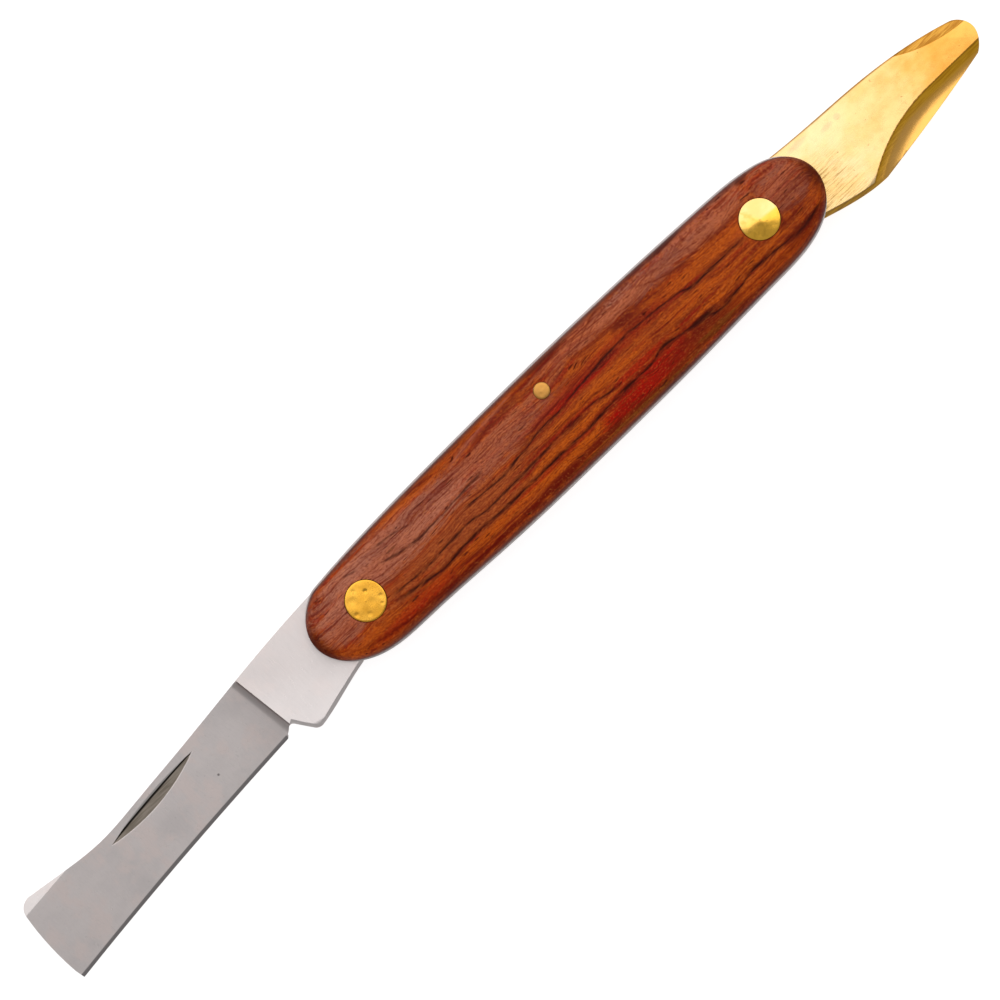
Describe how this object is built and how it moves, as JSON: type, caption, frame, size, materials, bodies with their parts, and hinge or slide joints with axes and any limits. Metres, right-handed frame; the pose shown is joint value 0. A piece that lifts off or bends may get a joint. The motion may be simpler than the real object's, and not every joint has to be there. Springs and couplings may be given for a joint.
{
  "type": "two-ended folding grafting knife",
  "caption": "Folding grafting knife with rosewood scales, a square-ended steel blade at one end and a brass bark lifter at the other.",
  "frame": {"origin": "on the flat of the rear scale, midway between the two pivots and on their line", "axes": "+X towards the bark lifter, +Y towards the spine and back spring, +Z out of the front face; the knife lies open on its rear scale"},
  "size_m": [0.1986, 0.0199, 0.0133],
  "materials": {
    "rosewood": "satin",
    "steel": "satin",
    "blade_steel": "satin",
    "brass": "gloss"
  },
  "bodies": {
    "handle": {"front_scale": "rosewood", "rear_scale": "rosewood", "front_liner": "steel", "rear_liner": "steel", "back_spring": "steel", "spring_pin": "brass", "blade_rivet_stud": "brass", "blade_rivet_socket": "brass", "lifter_rivet_stud": "brass", "lifter_rivet_socket": "brass"},
    "blade": {"blade": "blade_steel"},
    "bark_lifter": {"bark_lifter": "brass"}
  },
  "joints": [
    {"name": "blade_fold", "type": "hinge", "parent": "handle", "child": "blade", "pos_m": [-0.04155, 0, 0.0065], "axis": [0, 0, 1], "range_deg": [0, 169], "deforming": ["back_spring"]},
    {"name": "lifter_fold", "type": "hinge", "parent": "handle", "child": "bark_lifter", "pos_m": [0.04155, 0, 0.0065], "axis": [0, 0, -1], "range_deg": [0, 168.5], "deforming": ["back_spring"]}
  ]
}
